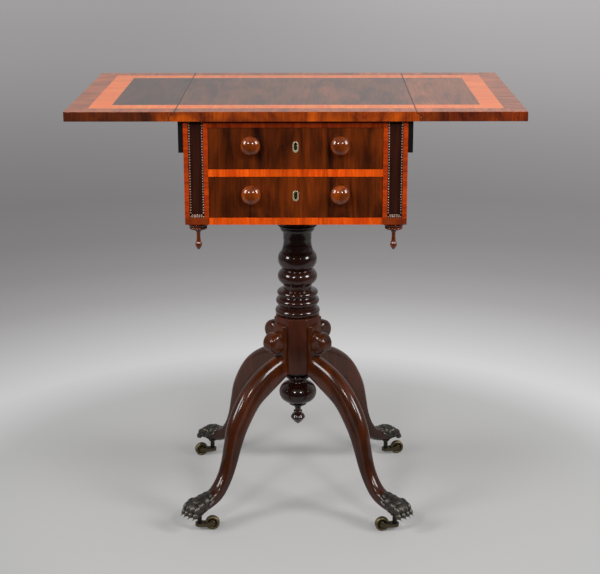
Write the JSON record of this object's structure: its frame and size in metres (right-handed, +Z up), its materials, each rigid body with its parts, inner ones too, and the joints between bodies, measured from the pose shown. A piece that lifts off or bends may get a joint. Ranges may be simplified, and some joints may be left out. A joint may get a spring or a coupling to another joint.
{
  "type": "drop-leaf work table",
  "caption": "Drop-leaf sewing table with two lockable drawers in a small case on a turned column, curved paw-footed legs and swivelling casters.",
  "frame": {"origin": "on the floor, under the middle of the table's outline with the leaves up and the drawers shut", "axes": "+Z up, the drawers open towards -Y, +X to the right of a person facing the drawers"},
  "size_m": [0.73, 0.457, 0.74],
  "materials": {
    "top_rosewood": "polished",
    "case_rosewood": "polished",
    "crossband": "polished",
    "dark_turnery": "polished",
    "dark_mahogany": "polished",
    "black_beech": "satin",
    "oak": "satin",
    "paw_brass": "patinated",
    "caster_brass": "dull",
    "lock_brass": "polished",
    "iron": "dull"
  },
  "bodies": {
    "frame": {"centre_top": "top_rosewood", "hinge_plates": "iron", "hinge_pins": "iron", "side_left": "case_rosewood", "side_right": "case_rosewood", "case_back": "case_rosewood", "post_front_left": "crossband", "post_front_right": "crossband", "rear_posts": "crossband", "top_rail": "crossband", "middle_rail": "crossband", "bottom_rail": "crossband", "case_bottom": "oak", "drawer_runners": "oak", "post_mouldings": "dark_turnery", "pendants": "dark_mahogany", "fly_rails": "black_beech", "bracket_pins": "iron", "column": "dark_mahogany", "drop_finial": "dark_mahogany", "column_cap": "dark_mahogany", "leg_front_left": "dark_mahogany", "leg_front_right": "dark_mahogany", "leg_rear_left": "dark_mahogany", "leg_rear_right": "dark_mahogany", "paw_front_left": "paw_brass", "paw_front_right": "paw_brass", "paw_rear_left": "paw_brass", "paw_rear_right": "paw_brass"},
    "leaf_left_body": {"leaf_left": "top_rosewood", "hinge_flaps_left": "iron"},
    "leaf_right_body": {"leaf_right": "top_rosewood", "hinge_flaps_right": "iron"},
    "fly_front_left": {"bracket_front_left": "black_beech"},
    "fly_front_right": {"bracket_front_right": "black_beech"},
    "fly_rear_left": {"bracket_rear_left": "black_beech"},
    "fly_rear_right": {"bracket_rear_right": "black_beech"},
    "upper_drawer": {"upper_drawer_front": "case_rosewood", "upper_drawer_sides": "oak", "upper_drawer_bottom": "oak", "upper_knobs": "dark_turnery", "upper_escutcheon": "lock_brass", "upper_lock": "lock_brass"},
    "upper_lock_bolt": {"upper_bolt": "iron"},
    "lower_drawer": {"lower_drawer_front": "case_rosewood", "lower_drawer_sides": "oak", "lower_drawer_bottom": "oak", "lower_knobs": "dark_turnery", "lower_escutcheon": "lock_brass", "lower_lock": "lock_brass"},
    "lower_lock_bolt": {"lower_bolt": "iron"},
    "caster_front_left": {"horn_front_left": "caster_brass"},
    "roller_front_left": {"wheel_front_left": "caster_brass"},
    "caster_front_right": {"horn_front_right": "caster_brass"},
    "roller_front_right": {"wheel_front_right": "caster_brass"},
    "caster_rear_left": {"horn_rear_left": "caster_brass"},
    "roller_rear_left": {"wheel_rear_left": "caster_brass"},
    "caster_rear_right": {"horn_rear_right": "caster_brass"},
    "roller_rear_right": {"wheel_rear_right": "caster_brass"}
  },
  "joints": [
    {"name": "leaf_left_drop", "type": "hinge", "parent": "frame", "child": "leaf_left_body", "pos_m": [-0.19, 0.0085, 0.7275], "axis": [0, -1, 0], "range_deg": [0, 90]},
    {"name": "leaf_right_drop", "type": "hinge", "parent": "frame", "child": "leaf_right_body", "pos_m": [0.19, 0.0085, 0.7275], "axis": [0, 1, 0], "range_deg": [0, 90]},
    {"name": "fly_front_left_swing", "type": "hinge", "parent": "frame", "child": "fly_front_left", "pos_m": [-0.182, -0.1735, 0.699], "axis": [0, 0, -1], "range_deg": [-90, 0]},
    {"name": "fly_front_right_swing", "type": "hinge", "parent": "frame", "child": "fly_front_right", "pos_m": [0.182, -0.1735, 0.699], "axis": [0, 0, 1], "range_deg": [-90, 0]},
    {"name": "fly_rear_left_swing", "type": "hinge", "parent": "frame", "child": "fly_rear_left", "pos_m": [-0.182, 0.1905, 0.699], "axis": [0, 0, 1], "range_deg": [-90, 0]},
    {"name": "fly_rear_right_swing", "type": "hinge", "parent": "frame", "child": "fly_rear_right", "pos_m": [0.182, 0.1905, 0.699], "axis": [0, 0, -1], "range_deg": [-90, 0]},
    {"name": "upper_drawer_slide", "type": "slide", "parent": "frame", "child": "upper_drawer", "axis": [0, -1, 0], "range_m": [0, 0.29]},
    {"name": "upper_bolt_throw", "type": "slide", "parent": "upper_drawer", "child": "upper_lock_bolt", "axis": [0, 0, 1], "range_m": [0, 0.006]},
    {"name": "lower_drawer_slide", "type": "slide", "parent": "frame", "child": "lower_drawer", "axis": [0, -1, 0], "range_m": [0, 0.29]},
    {"name": "lower_bolt_throw", "type": "slide", "parent": "lower_drawer", "child": "lower_lock_bolt", "axis": [0, 0, 1], "range_m": [0, 0.006]},
    {"name": "caster_front_left_swivel", "type": "hinge", "parent": "frame", "child": "caster_front_left", "pos_m": [-0.16971, -0.16121, 0.0185], "axis": [0, 0, 1], "continuous": true},
    {"name": "wheel_front_left_roll", "type": "hinge", "parent": "caster_front_left", "child": "roller_front_left", "pos_m": [-0.14721, -0.16121, 0.0125], "axis": [0, 1, 0], "continuous": true},
    {"name": "caster_front_right_swivel", "type": "hinge", "parent": "frame", "child": "caster_front_right", "pos_m": [0.16971, -0.16121, 0.0185], "axis": [0, 0, 1], "continuous": true},
    {"name": "wheel_front_right_roll", "type": "hinge", "parent": "caster_front_right", "child": "roller_front_right", "pos_m": [0.14755, -0.16511, 0.0125], "axis": [0.1736, -0.9848, 0], "continuous": true},
    {"name": "caster_rear_left_swivel", "type": "hinge", "parent": "frame", "child": "caster_rear_left", "pos_m": [-0.16971, 0.17821, 0.0185], "axis": [0, 0, 1], "continuous": true},
    {"name": "wheel_rear_left_roll", "type": "hinge", "parent": "caster_rear_left", "child": "roller_rear_left", "pos_m": [-0.19085, 0.17051, 0.0125], "axis": [0.342, -0.9397, 0], "continuous": true},
    {"name": "caster_rear_right_swivel", "type": "hinge", "parent": "frame", "child": "caster_rear_right", "pos_m": [0.16971, 0.17821, 0.0185], "axis": [0, 0, 1], "continuous": true},
    {"name": "wheel_rear_right_roll", "type": "hinge", "parent": "caster_rear_right", "child": "roller_rear_right", "pos_m": [0.19186, 0.18211, 0.0125], "axis": [-0.1736, 0.9848, 0], "continuous": true}
  ]
}
